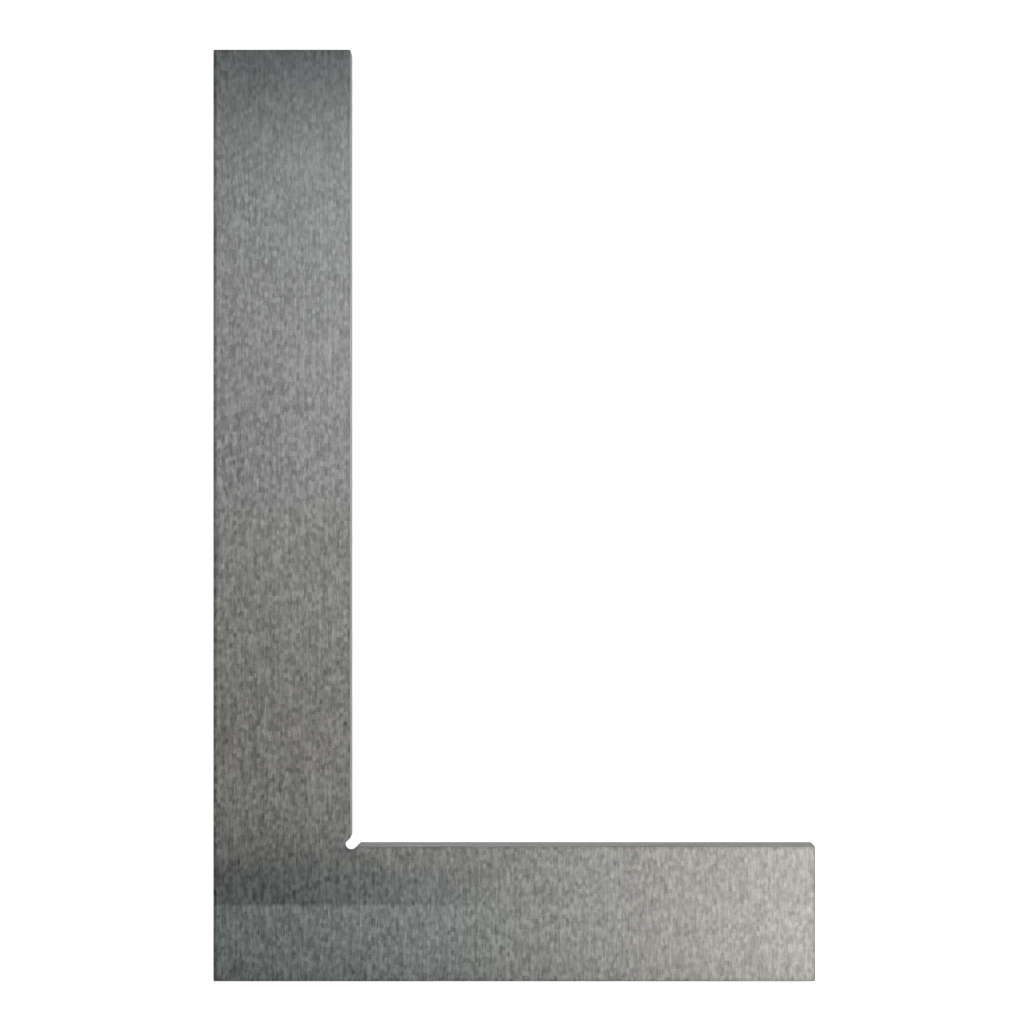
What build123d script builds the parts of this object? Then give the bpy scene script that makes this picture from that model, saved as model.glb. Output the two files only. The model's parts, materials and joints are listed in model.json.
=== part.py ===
"""A flat steel square: one flat L of ground tool steel, with a relief cut in its inside corner.

Frame, in millimetres: the square lies flat with +Z up. The origin is the heel, where the planes of
the two outer edges meet the lower face. The long leg runs along +Y and the short leg along +X.
"""

import os

from build123d import *

# Leg lengths, each along its outer edge from the heel. The nominal size is 200 x 130.
LONG_LEG_LENGTH = 200.0
SHORT_LEG_LENGTH = 129.2
# Leg widths, each from the outer edge to the inner edge, after both edges are ground.
LONG_LEG_WIDTH = 29.5
SHORT_LEG_WIDTH = 29.1
THICKNESS = 6.0
# Width of the 45 degree chamfer on the edges of both faces and on the outline's outer corners.
EDGE_BREAK = 0.2
# The relief is a round-ended slot on the bisector of the inside corner. It gives the corner of a
# workpiece, and the grinding wheel that finished the inner edges, somewhere to go.
RELIEF_WIDTH = 2.5
RELIEF_DEPTH = 1.65  # from the inside corner to the slot's round end


def leg_outline():
    """The L, from the heel round to the long leg's free end, with a small chamfer on each outer corner."""
    corners = [
        (0, 0),
        (SHORT_LEG_LENGTH, 0),
        (SHORT_LEG_LENGTH, SHORT_LEG_WIDTH),
        (LONG_LEG_WIDTH, SHORT_LEG_WIDTH),
        (LONG_LEG_WIDTH, LONG_LEG_LENGTH),
        (0, LONG_LEG_LENGTH),
    ]
    outline = make_face(Polyline(*corners, close=True))
    inside_corner = Vector(LONG_LEG_WIDTH, SHORT_LEG_WIDTH)
    outer_corners = [v for v in outline.vertices() if (Vector(v) - inside_corner).length > EDGE_BREAK]
    return chamfer(outer_corners, EDGE_BREAK)


def corner_relief():
    """The slot in plan: a round end past the inside corner, and straight sides that run out of the mouth."""
    end_radius = RELIEF_WIDTH / 2
    # Distances along the bisector, measured from the inside corner and positive towards the opening.
    end_centre = end_radius - RELIEF_DEPTH
    mouth = RELIEF_WIDTH
    middle = (end_centre + mouth) / 2
    slot = Pos(middle, 0) * Rectangle(mouth - end_centre, RELIEF_WIDTH)
    slot += Pos(end_centre, 0) * Circle(end_radius)
    return Pos(LONG_LEG_WIDTH, SHORT_LEG_WIDTH) * Rot(0, 0, 45) * slot


def steel_square():
    """The whole square as one solid, with the burr taken off both faces' edges."""
    blank = extrude(leg_outline() - corner_relief(), THICKNESS)
    lower_face, *_, upper_face = blank.faces().sort_by(Axis.Z)
    return chamfer(lower_face.edges() + upper_face.edges(), EDGE_BREAK)


def main():
    os.makedirs("parts", exist_ok=True)
    export_step(steel_square(), "parts/steel_square.step")


main()
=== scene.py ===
"""Looks of the flat steel square: one plate of surface-ground tool steel on a white studio table.

Everything is in metres in the row's frame: the heel at the origin, the long leg along +Y, the short
leg along +X, the upper face at z = thickness.
"""

import json
import math

import bpy
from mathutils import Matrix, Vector


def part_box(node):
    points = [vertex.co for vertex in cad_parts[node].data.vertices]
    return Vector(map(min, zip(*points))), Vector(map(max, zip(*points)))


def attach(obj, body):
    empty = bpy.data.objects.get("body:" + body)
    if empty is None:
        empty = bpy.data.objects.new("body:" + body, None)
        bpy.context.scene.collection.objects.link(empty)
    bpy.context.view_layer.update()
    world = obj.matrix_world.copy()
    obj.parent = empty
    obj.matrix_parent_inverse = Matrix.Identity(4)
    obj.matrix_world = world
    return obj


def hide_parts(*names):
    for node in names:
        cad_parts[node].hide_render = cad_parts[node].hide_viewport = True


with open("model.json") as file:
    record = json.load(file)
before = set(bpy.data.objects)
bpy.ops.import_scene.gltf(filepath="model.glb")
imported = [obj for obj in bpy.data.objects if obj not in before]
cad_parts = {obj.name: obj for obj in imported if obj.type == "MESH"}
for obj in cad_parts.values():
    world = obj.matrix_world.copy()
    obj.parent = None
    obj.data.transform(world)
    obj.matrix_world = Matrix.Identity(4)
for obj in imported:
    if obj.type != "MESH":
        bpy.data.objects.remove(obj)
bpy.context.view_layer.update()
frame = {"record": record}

MM = 0.001
NODE = "steel_square"

# The plate, from the frame: outer sizes from its box, leg widths from the mounts on the inner edges.
MOUNTS = {mount["name"]: mount for mount in frame["record"]["mounts"]}
SHORT_LENGTH, LONG_LENGTH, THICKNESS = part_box(NODE)[1]
LONG_WIDTH = MOUNTS["long_inner_edge"]["pos_m"][0]
SHORT_WIDTH = MOUNTS["short_inner_edge"]["pos_m"][1]

# The relief slot on the bisector of the inside corner, the same size as in the CAD.
RELIEF_RADIUS = 1.25 * MM
RELIEF_DEPTH = 1.65 * MM  # from the inside corner to the slot's round end

# Radii too small to see as shapes, which catch the light as a thin line.
ARRIS = 0.2 * MM  # between a broad face and a side
CORNER = 0.3 * MM  # upright corners of the outline
ARRIS_STEPS = 4
CORNER_STEPS = 5
RELIEF_STEPS = 28
RUN_STEP = 10 * MM  # straight runs are cut into lengths of about this

# Painted reflection on the short leg: a dark band painted into the upper face's colour, its sharp lower edge
# above the outer edge, and how far it reaches up and across.
PAINTED_REFLECTION_EDGE = 16.4 * MM
PAINTED_REFLECTION_HEIGHT = 24 * MM
PAINTED_REFLECTION_WIDTH = 90 * MM

# Ground dashes, each of one shade. Sides are ground with a finer wheel, which draws the marks out more.
FACE_LANE = 0.85 * MM
SIDE_LANE = 0.3 * MM
DASH_LENGTH = 1.0 * MM
NICK_WIDTH = 0.3 * MM
NICK_LENGTH = 1.2 * MM
SIDE_DRAWN = 5.0  # how many times as long the marks are on a side
SIDE_GRAIN_DEPTH = 0.6  # how strongly the grain shows on a side

# Finer marks, each a noise drawn out along the grain: (length over width, scale, detail, roughness).
STREAKS = (2.3, 1150.0, 2.0, 0.65)
STROKES = (12.0, 1500.0, 2.0, 0.6)
SCRATCHES = (50.0, 2600.0, 2.0, 0.6)
MOTTLE = (3.0, 70.0, 3.0, 0.55)

# The plate's material slots.
FACE, SIDE_ALONG_Y, SIDE_ALONG_X, RELIEF = range(4)

# The UV map, laid out in metres on a square sheet and then scaled to 0..1.
MAP_GAP = 1.0 * MM
MAP_PITCH = 9.0 * MM  # from one column of the side to the next
MAP_COLUMN = 185 * MM  # length of side in one column
MAP_SIZE = LONG_LENGTH + 2 * MAP_GAP


# ---------------------------------------------------------------------------------------- outline


def unit(x, y):
    length = math.hypot(x, y)
    return x / length, y / length


def rounded_corner(before, corner, after, radius, steps):
    """Points and outward normals of an arc that rounds a convex corner of an anticlockwise outline."""
    ux, uy = unit(corner[0] - before[0], corner[1] - before[1])
    vx, vy = unit(after[0] - corner[0], after[1] - corner[1])
    first, last = math.atan2(-ux, uy), math.atan2(-vx, vy)
    turn = (last - first) % math.tau
    setback = radius * math.tan(turn / 2)
    centre_x = corner[0] - ux * setback - uy * radius
    centre_y = corner[1] - uy * setback + ux * radius
    arc = []
    for step in range(steps + 1):
        angle = first + turn * step / steps
        nx, ny = math.cos(angle), math.sin(angle)
        arc.append(((centre_x + radius * nx, centre_y + radius * ny), (nx, ny)))
    return arc


def relief_end():
    """Points and outward normals of the slot's round end, from its lower side round to its upper side."""
    along = (RELIEF_RADIUS - RELIEF_DEPTH) / math.sqrt(2)
    centre_x, centre_y = LONG_WIDTH + along, SHORT_WIDTH + along
    arc = []
    for step in range(RELIEF_STEPS + 1):
        angle = math.radians(-45 - 180 * step / RELIEF_STEPS)
        nx, ny = math.cos(angle), math.sin(angle)
        point = (centre_x + RELIEF_RADIUS * nx, centre_y + RELIEF_RADIUS * ny)
        arc.append((point, (-nx, -ny)))
    return arc


def outline():
    """The plate's outline, anticlockwise from the heel, as (point, outward normal) pairs."""
    mouth = RELIEF_RADIUS * math.sqrt(2)  # where the slot's sides leave the inner edges
    slot = relief_end()
    corners = [
        (0.0, 0.0),
        (SHORT_LENGTH, 0.0),
        (SHORT_LENGTH, SHORT_WIDTH),
        (LONG_WIDTH + mouth, SHORT_WIDTH),
        slot,
        (LONG_WIDTH, SHORT_WIDTH + mouth),
        (LONG_WIDTH, LONG_LENGTH),
        (0.0, LONG_LENGTH),
    ]
    line = []
    for index, corner in enumerate(corners):
        if corner is slot:
            line += slot
            continue
        before, after = corners[index - 1], corners[(index + 1) % len(corners)]
        before = slot[-1][0] if before is slot else before
        after = slot[0][0] if after is slot else after
        line += rounded_corner(before, corner, after, CORNER, CORNER_STEPS)
    return with_runs_cut(line)


def with_runs_cut(line):
    """The same outline with extra points along its long straight runs."""
    cut = []
    for (point, normal), (ahead, _) in zip(line, line[1:] + line[:1]):
        pieces = max(1, round(math.dist(point, ahead) / RUN_STEP))
        for piece in range(pieces):
            share = piece / pieces
            x = point[0] + (ahead[0] - point[0]) * share
            y = point[1] + (ahead[1] - point[1]) * share
            cut.append(((x, y), normal))
    return cut


# ------------------------------------------------------------------------------------------- mesh


def section():
    """Rings up the side: (how far in from the outline, height, tilt of the normal above level)."""
    rings = []
    for step in range(ARRIS_STEPS + 1):
        tilt = math.radians(-90 + 90 * step / ARRIS_STEPS)
        rings.append((ARRIS * (1 - math.cos(tilt)), ARRIS * (1 + math.sin(tilt)), tilt))
    for step in range(ARRIS_STEPS + 1):
        tilt = math.radians(90 * step / ARRIS_STEPS)
        height = THICKNESS - ARRIS * (1 - math.sin(tilt))
        rings.append((ARRIS * (1 - math.cos(tilt)), height, tilt))
    return rings


def plate_mesh():
    """The plate as one closed mesh with exact normals, so that its faces are flat right up to the arris."""
    line, rings = outline(), section()
    count = len(line)
    places, normals = [], []
    for inset, height, tilt in rings:
        for (x, y), (nx, ny) in line:
            places.append((x - nx * inset, y - ny * inset, height))
            normals.append((nx * math.cos(tilt), ny * math.cos(tilt), math.sin(tilt)))
    faces, finishes = [], []
    for ring in range(len(rings) - 1):
        for here in range(count):
            ahead = (here + 1) % count
            low, high = ring * count, (ring + 1) * count
            faces.append((low + here, low + ahead, high + ahead, high + here))
            finishes.append(side_finish(line[here], line[ahead]))
    top = (len(rings) - 1) * count
    faces.append(tuple(range(top, top + count)))
    faces.append(tuple(reversed(range(count))))
    finishes += [FACE, FACE]
    mesh = bpy.data.meshes.new("ground_plate")
    mesh.from_pydata(places, [], faces)
    for polygon, finish in zip(mesh.polygons, finishes):
        polygon.material_index = finish
    mesh.shade_smooth()
    mesh.normals_split_custom_set_from_vertices(normals)
    add_map(mesh, line, rings)
    return mesh


def side_finish(here, ahead):
    """Which finish a length of the side has: the relief's wall, or ground along its own length."""
    (x, y), _ = here
    (ahead_x, ahead_y), _ = ahead
    middle = ((x + ahead_x) / 2, (y + ahead_y) / 2)
    if math.dist(middle, (LONG_WIDTH, SHORT_WIDTH)) < RELIEF_RADIUS * math.sqrt(2):
        return RELIEF
    return SIDE_ALONG_Y if abs(ahead_y - y) > abs(ahead_x - x) else SIDE_ALONG_X


def add_map(mesh, line, rings):
    """The UV map: the two faces interlock as two Ls, and the side lies beside them in columns."""
    steps = [math.dist(a[0], b[0]) for a, b in zip(line, line[1:] + line[:1])]
    starts = [sum(steps[:index]) for index in range(len(steps))]
    climbs = [math.dist(low[:2], high[:2]) for low, high in zip(rings, rings[1:])]
    climb = [sum(climbs[:index]) for index in range(len(rings))]
    count = len(line)
    upper_face, lower_face = len(mesh.polygons) - 2, len(mesh.polygons) - 1
    layer = mesh.uv_layers.new(name="OFBake").data
    for polygon in mesh.polygons:
        for corner in polygon.loop_indices:
            vertex = mesh.loops[corner].vertex_index
            x, y, _ = mesh.vertices[vertex].co
            if polygon.index == upper_face:
                u, v = x, y
            elif polygon.index == lower_face:
                u, v = SHORT_LENGTH + LONG_WIDTH + MAP_GAP - x, LONG_LENGTH - y
            else:
                here = polygon.index % count
                column = int(starts[here] / MAP_COLUMN)
                along = starts[here] + (steps[here] if vertex % count != here else 0.0)
                u = SHORT_LENGTH + LONG_WIDTH + MAP_GAP * 2 + column * MAP_PITCH + climb[vertex // count]
                v = along - column * MAP_COLUMN
            layer[corner].uv = ((u + MAP_GAP) / MAP_SIZE, (v + MAP_GAP) / MAP_SIZE)


def add_plate():
    plate = bpy.data.objects.new("ground_plate", plate_mesh())
    bpy.context.scene.collection.objects.link(plate)
    return plate


# -------------------------------------------------------------------------------------- materials


def grey(level):
    return (level, level, level, 1.0)


class Nodes:
    """A short way to write node trees: each call adds a node, links its inputs and returns an output."""

    def __init__(self, tree):
        self.tree = tree
        tree.nodes.clear()

    def add(self, kind, inputs=None, output=0, **settings):
        node = self.tree.nodes.new(kind)
        for name, value in settings.items():
            setattr(node, name, value)
        for name, value in (inputs or {}).items():
            socket = node.inputs[name]
            if isinstance(value, bpy.types.NodeSocket):
                self.tree.links.new(value, socket)
            else:
                socket.default_value = value
        return node.outputs[output]

    def math(self, operation, first, second=0.0, third=0.0):
        inputs = {0: first, 1: second, 2: third}
        return self.add("ShaderNodeMath", inputs, operation=operation)

    def about_zero(self, value, swing):
        """A 0..1 value spread evenly about zero."""
        return self.math("MULTIPLY_ADD", value, swing, -swing / 2)

    def along(self, place, grain, ratio):
        """Coordinates in which a texture is drawn out along the grain."""
        scale = {"X": (1 / ratio, 1.0, 1.0), "Y": (1.0, 1 / ratio, 1.0), "Z": (1.0, 1.0, 1 / ratio)}[grain]
        return self.add("ShaderNodeMapping", {"Vector": place, "Scale": scale})

    def finish(self, kind, surface):
        self.tree.links.new(surface, self.tree.nodes.new(kind).inputs["Surface"])

    def noise(self, place, scale, detail=2.0, roughness=0.5):
        inputs = {"Vector": place, "Scale": scale, "Detail": detail, "Roughness": roughness}
        return self.add("ShaderNodeTexNoise", inputs, "Fac")

    def drawn_noise(self, place, grain, marks, drawn=1.0):
        """Noise drawn out along the grain. marks is (length over width, scale, detail, roughness)."""
        ratio, scale, detail, roughness = marks
        return self.noise(self.along(place, grain, ratio * drawn), scale, detail, roughness)

    def spread(self, value, low, high, to_low=0.0, to_high=1.0):
        inputs = {"Value": value, "From Min": low, "From Max": high, "To Min": to_low, "To Max": to_high}
        return self.add("ShaderNodeMapRange", inputs)

    def ramp(self, value, stops):
        node = self.tree.nodes.new("ShaderNodeValToRGB")
        self.tree.links.new(value, node.inputs[0])
        while len(node.color_ramp.elements) < len(stops):
            node.color_ramp.elements.new(0.5)
        for element, (position, colour) in zip(node.color_ramp.elements, stops):
            element.position, element.color = position, colour
        return node.outputs["Color"]


def ground_steel(name, grain, tint, roughness, rim=grey(1.0), face=False):
    """Steel ground along one axis: dense short dashes, finer and longer scratches, a little mottling.

    rim tints what is seen at a grazing angle. A broad face is ground with a coarser wheel than a side, and
    it also has a painted reflection, a dark band, and a painted shade line round its edge, both painted into
    its colour.
    """
    material = bpy.data.materials.new(name)
    material.use_nodes = True
    nodes = Nodes(material.node_tree)
    place = nodes.add("ShaderNodeTexCoord", output="Object")
    drawn = 1.0 if face else SIDE_DRAWN
    lane = FACE_LANE if face else SIDE_LANE
    dashes = dash_pattern(nodes, place, grain, lane, DASH_LENGTH * drawn)
    nicks = dash_pattern(nodes, place, grain, NICK_WIDTH, NICK_LENGTH * drawn)
    streaks = nodes.drawn_noise(place, grain, STREAKS, drawn)
    strokes = nodes.drawn_noise(place, grain, STROKES)
    scratches = nodes.drawn_noise(place, grain, SCRATCHES)
    mottle = nodes.drawn_noise(place, grain, MOTTLE)

    # Each layer with the swing in shade from its darkest to its lightest.
    layers = [(dashes, 0.3), (nicks, 0.24), (streaks, 0.75), (strokes, 0.42), (scratches, 0.45)]
    grind = 0.0
    for layer, swing in layers:
        grind = nodes.math("ADD", nodes.about_zero(layer, swing), grind)
    depth = grain_depth(nodes, place) if face else SIDE_GRAIN_DEPTH
    shade = nodes.math("MULTIPLY_ADD", grind, depth, 1.0)
    shade = nodes.math("ADD", shade, nodes.about_zero(mottle, 0.1))
    # Painted reflection and painted shade on a broad face: a dark band on the short leg and a dark line
    # round the edge, painted into its colour.
    if face:
        shade = nodes.math("MULTIPLY", shade, painted_reflection_band(nodes, place))
        shade = nodes.math("MULTIPLY", shade, painted_edge_shade(nodes, place, streaks))
    colour = nodes.add("ShaderNodeVectorMath", {0: tint, "Scale": shade}, operation="SCALE")
    if face:
        colour = nodes.add("ShaderNodeVectorMath", {0: colour, 1: cast(nodes, place)}, operation="MULTIPLY")
    rough = nodes.spread(dashes, 0.0, 1.0, roughness - 0.01, roughness + 0.012)
    height = nodes.math("ADD", nodes.math("MULTIPLY", strokes, 0.5), scratches)
    bump = nodes.add("ShaderNodeBump", {"Height": height, "Strength": 0.2, "Distance": 0.01 * MM})
    inputs = {
        "Base Color": colour,
        "Metallic": 1.0,
        "Roughness": rough,
        "Specular Tint": rim,
        "Anisotropic": 1.0,
        "Tangent": across_grain(nodes, grain),
        "Normal": bump,
    }
    nodes.finish("ShaderNodeOutputMaterial", nodes.add("ShaderNodeBsdfPrincipled", inputs))
    return material


def dash_pattern(nodes, place, grain, width, length):
    """Ground dashes side by side, each of its own shade, in lanes along the grain that start out of step."""
    axes = {"X": "XYZ", "Y": "YXZ", "Z": "ZXY"}[grain]
    along, across, beside = [nodes.add("ShaderNodeSeparateXYZ", {0: place}, axis) for axis in axes]
    across = nodes.math("ADD", across, beside)
    lane = nodes.math("FLOOR", nodes.math("DIVIDE", across, width))
    start = nodes.add("ShaderNodeTexWhiteNoise", {"W": lane}, "Value", noise_dimensions="1D")
    dash = nodes.math("FLOOR", nodes.math("ADD", nodes.math("DIVIDE", along, length), start))
    cell = nodes.add("ShaderNodeCombineXYZ", {"X": lane, "Y": dash, "Z": 0.0})
    return nodes.add("ShaderNodeTexWhiteNoise", {"Vector": cell}, "Value", noise_dimensions="2D")


def across_grain(nodes, grain):
    """The direction across the grain, in the surface: the ground grooves scatter light that way."""
    along = {"X": (1.0, 0.0, 0.0), "Y": (0.0, 1.0, 0.0), "Z": (0.0, 0.0, 1.0)}[grain]
    normal = nodes.add("ShaderNodeNewGeometry", output="Normal")
    return nodes.add("ShaderNodeVectorMath", {0: normal, 1: along}, operation="CROSS_PRODUCT")


def grain_depth(nodes, place):
    """How strongly the grain shows: most at the heel, least at the free ends of the legs."""
    x = nodes.add("ShaderNodeSeparateXYZ", {0: place}, "X")
    y = nodes.add("ShaderNodeSeparateXYZ", {0: place}, "Y")
    up = nodes.spread(y, 40 * MM, 180 * MM, 1.35, 0.85)
    return nodes.math("MULTIPLY", up, nodes.spread(x, 20 * MM, 110 * MM, 1.0, 0.68))


def on_upper_face(nodes, place):
    """1 on the upper face and 0 on the lower one, which has no painted reflection and no cast of colour."""
    height = nodes.add("ShaderNodeSeparateXYZ", {0: place}, "Z")
    return nodes.spread(height, 0.4 * THICKNESS, 0.6 * THICKNESS)


def painted_reflection_band(nodes, place):
    """Painted reflection: a dark band painted into the steel's brightness, given as the factor it leaves, 1
    where there is no band.

    It starts at a sharp edge across the short leg, and thins out above that edge and away from the long
    leg's outer edge.
    """
    wander = nodes.about_zero(nodes.noise(place, 120.0), 0.6 * MM)  # of the line, up and down
    x = nodes.add("ShaderNodeSeparateXYZ", {0: place}, "X")
    y = nodes.math("ADD", nodes.add("ShaderNodeSeparateXYZ", {0: place}, "Y"), wander)
    line = nodes.spread(y, PAINTED_REFLECTION_EDGE - 0.4 * MM, PAINTED_REFLECTION_EDGE + 0.4 * MM)
    upward = nodes.ramp(
        nodes.spread(y, PAINTED_REFLECTION_EDGE, PAINTED_REFLECTION_EDGE + PAINTED_REFLECTION_HEIGHT),
        [(0.0, grey(1.0)), (0.3, grey(1.0)), (0.5, grey(0.5)), (0.7, grey(0.22)), (1.0, grey(0.0))],
    )
    sideways = nodes.ramp(
        nodes.spread(x, 0.0, PAINTED_REFLECTION_WIDTH),
        [(0.0, grey(0.4)), (0.2, grey(0.38)), (0.5, grey(0.18)), (0.75, grey(0.06)), (1.0, grey(0.03))],
    )
    reflection_band = nodes.math("MULTIPLY", nodes.math("MULTIPLY", line, upward), sideways)
    return nodes.math("SUBTRACT", 1.0, nodes.math("MULTIPLY", reflection_band, on_upper_face(nodes, place)))


def cast(nodes, place):
    """Faint casts of colour: greener at the heel, and warmer beyond it on both legs."""
    x = nodes.add("ShaderNodeSeparateXYZ", {0: place}, "X")
    y = nodes.add("ShaderNodeSeparateXYZ", {0: place}, "Y")
    heel_across = nodes.spread(x, 15 * MM, PAINTED_REFLECTION_WIDTH, 1.0, 0.0)
    heel_up = nodes.spread(y, 18 * MM, 30 * MM, 1.0, 0.0)
    at_heel = nodes.math("MULTIPLY", heel_across, heel_up)
    rising = nodes.spread(y, 18 * MM, 45 * MM)
    fading = nodes.spread(y, 55 * MM, 110 * MM, 1.0, 0.0)
    above = nodes.math("MULTIPLY", rising, fading)
    beyond = nodes.math("MAXIMUM", above, nodes.spread(x, 35 * MM, 100 * MM))
    upper = on_upper_face(nodes, place)
    at_heel = nodes.math("MULTIPLY", at_heel, upper)
    beyond = nodes.math("MULTIPLY", beyond, upper)
    red = nodes.math("MULTIPLY_ADD", at_heel, -0.07, nodes.math("MULTIPLY_ADD", beyond, 0.04, 1.0))
    blue = nodes.math("MULTIPLY_ADD", beyond, -0.045, 1.0)
    return nodes.add("ShaderNodeCombineXYZ", {"X": red, "Y": 1.0, "Z": blue})


def painted_edge_shade(nodes, place, streaks):
    """Painted shade: a dark line just inside the outline, where the faces roll off a little away from the
    key light, broken up by the streaks.

    It is strongest along the long outer edge, the one farthest from the key light.
    """
    x = nodes.add("ShaderNodeSeparateXYZ", {0: place}, "X")
    y = nodes.add("ShaderNodeSeparateXYZ", {0: place}, "Y")
    from_long_end = nodes.math("SUBTRACT", LONG_LENGTH, y)
    from_short_end = nodes.math("SUBTRACT", SHORT_LENGTH, x)
    from_ends = nodes.math("MINIMUM", from_long_end, from_short_end)
    from_long_inner = nodes.math("SUBTRACT", LONG_WIDTH, x)
    from_short_inner = nodes.math("SUBTRACT", SHORT_WIDTH, y)
    from_inner = nodes.math("MAXIMUM", from_long_inner, from_short_inner)
    depth = nodes.math("MINIMUM", nodes.math("MINIMUM", y, from_ends), from_inner)
    broken_up = nodes.spread(streaks, 0.35, 0.65, 1.2, 0.8)
    line = nodes.math("MULTIPLY", nodes.spread(depth, 0.3 * MM, 0.9 * MM, 0.15, 0.0), broken_up)
    outer = nodes.math("MULTIPLY", nodes.spread(x, 0.5 * MM, 0.9 * MM, 0.4, 0.0), broken_up)
    return nodes.math("SUBTRACT", 1.0, nodes.math("MAXIMUM", line, outer))


def add_materials(plate):
    """The plate's four finishes, in the order of its material slots."""
    finishes = [
        ground_steel("ground_face", "Y", (0.55, 0.56, 0.546), 0.29, face=True),
        ground_steel("side_along_y", "Y", (0.36, 0.365, 0.36), 0.36, grey(0.2)),
        # Painted shade: the sides along X, among them the short leg's inner side, get a darker tint and a
        # darker rim than the sides along Y.
        ground_steel("side_along_x", "X", (0.29, 0.295, 0.285), 0.36, grey(0.08)),
        # Painted shade: the relief's wall gets a darker tint than the sides along Y, for the shade in the
        # slot.
        ground_steel("relief_wall", "Z", (0.3, 0.3, 0.3), 0.4, grey(0.2)),
    ]
    for finish in finishes:
        plate.data.materials.append(finish)


# ------------------------------------------------------------------------------------------ scene


def add_floor():
    """A table that glows a little, so that it is white right out to the horizon and takes little shadow."""
    size, glow = 20.0, 0.85
    bpy.ops.mesh.primitive_plane_add(size=size, location=(SHORT_LENGTH / 2, LONG_LENGTH / 2, 0.0))
    floor = bpy.context.object
    floor.name = "floor"
    material = bpy.data.materials.new("white_table")
    material.use_nodes = True
    shader = material.node_tree.nodes["Principled BSDF"]
    shader.inputs["Base Color"].default_value = grey(0.9)
    shader.inputs["Roughness"].default_value = 0.6
    shader.inputs["Emission Color"].default_value = grey(1.0)
    shader.inputs["Emission Strength"].default_value = glow
    floor.data.materials.append(material)


def add_camera():
    """Straight above the plate, all but over its centre, so that a sliver of each inner edge shows."""
    sensor, lens = 36.0, 77.1
    height = 470.4 * MM  # above the upper face
    offset = Vector((-0.5 * MM, 0.75 * MM, height))
    centre = Vector((SHORT_LENGTH / 2, LONG_LENGTH / 2, THICKNESS))
    data = bpy.data.cameras.new("camera")
    data.sensor_width, data.lens = sensor, lens
    data.clip_start, data.clip_end = 0.01, 50.0
    camera = bpy.data.objects.new("camera", data)
    camera.location = centre + offset
    bpy.context.scene.collection.objects.link(camera)
    bpy.context.scene.camera = camera


def add_softbox(name, aim, direction, distance, size, radiance, bands=None):
    """A rectangular light that faces the point aim. bands is its brightness and tint along size[0]."""
    data = bpy.data.lights.new(name, "AREA")
    data.shape = "RECTANGLE"
    data.size, data.size_y = size
    data.energy = radiance * math.pi * size[0] * size[1]
    lamp = bpy.data.objects.new(name, data)
    way = Vector(direction).normalized()
    lamp.location = aim + way * distance
    lamp.rotation_mode = "QUATERNION"
    lamp.rotation_quaternion = way.to_track_quat("Z", "Y")
    lamp.visible_camera = False
    bpy.context.scene.collection.objects.link(lamp)
    if bands:
        data.use_nodes = True
        nodes = Nodes(data.node_tree)
        place = nodes.add("ShaderNodeNewGeometry", output="Parametric")
        ramp = nodes.ramp(nodes.add("ShaderNodeSeparateXYZ", {0: place}, "X"), bands)
        nodes.finish("ShaderNodeOutputLight", nodes.add("ShaderNodeEmission", {"Color": ramp}))


# The key light's brightness and tint along its length, from low Y to high Y. The face mirrors them: dim
# over the short leg, brighter up the long leg, and suddenly dark and bluish at the long leg's free end.
KEY_BANDS = [
    (0.0, grey(0.6)),
    (0.1, grey(0.575)),
    (0.2, grey(0.545)),
    (0.33, grey(0.765)),
    (0.5, grey(0.935)),
    (0.7, (0.97, 1.0, 1.0, 1.0)),
    (0.72, (0.13, 0.15, 0.175, 1.0)),
    (0.9, (0.14, 0.16, 0.185, 1.0)),
    (1.0, (0.11, 0.13, 0.155, 1.0)),
]


def add_lights():
    centre = Vector((SHORT_LENGTH / 2, LONG_LENGTH / 2, 0.0))
    tilt = math.radians(30)  # of the key, from overhead towards +X
    key_aim = centre + Vector((0, 0.071, 0))
    key_way = (math.sin(tilt), 0.0, math.cos(tilt))
    key_size, fill_size = (0.598, 0.194), (1.2, 0.8)
    add_softbox("key", key_aim, key_way, distance=0.55, size=key_size, radiance=6.0, bands=KEY_BANDS)
    add_softbox("front", centre, (0.0, -1.0, 0.9), distance=1.2, size=fill_size, radiance=1.3)
    add_softbox("back", centre, (0.0, 1.0, 0.9), distance=1.2, size=fill_size, radiance=1.6)


def add_world():
    """A room that is light below and round the horizon, and dark overhead."""
    world = bpy.data.worlds.new("studio")
    bpy.context.scene.world = world
    world.use_nodes = True
    nodes = Nodes(world.node_tree)
    direction = nodes.add("ShaderNodeTexCoord", output="Generated")
    height = nodes.add("ShaderNodeSeparateXYZ", {0: direction}, "Z")
    level = nodes.spread(height, 0.3, 0.8, 0.75, 0.0)
    nodes.finish("ShaderNodeOutputWorld", nodes.add("ShaderNodeBackground", {"Strength": level}))
    bpy.context.scene.view_settings.view_transform = "Standard"


plate = add_plate()
add_materials(plate)
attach(plate, "root")
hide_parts(NODE)
add_floor()
add_lights()
add_world()
add_camera()
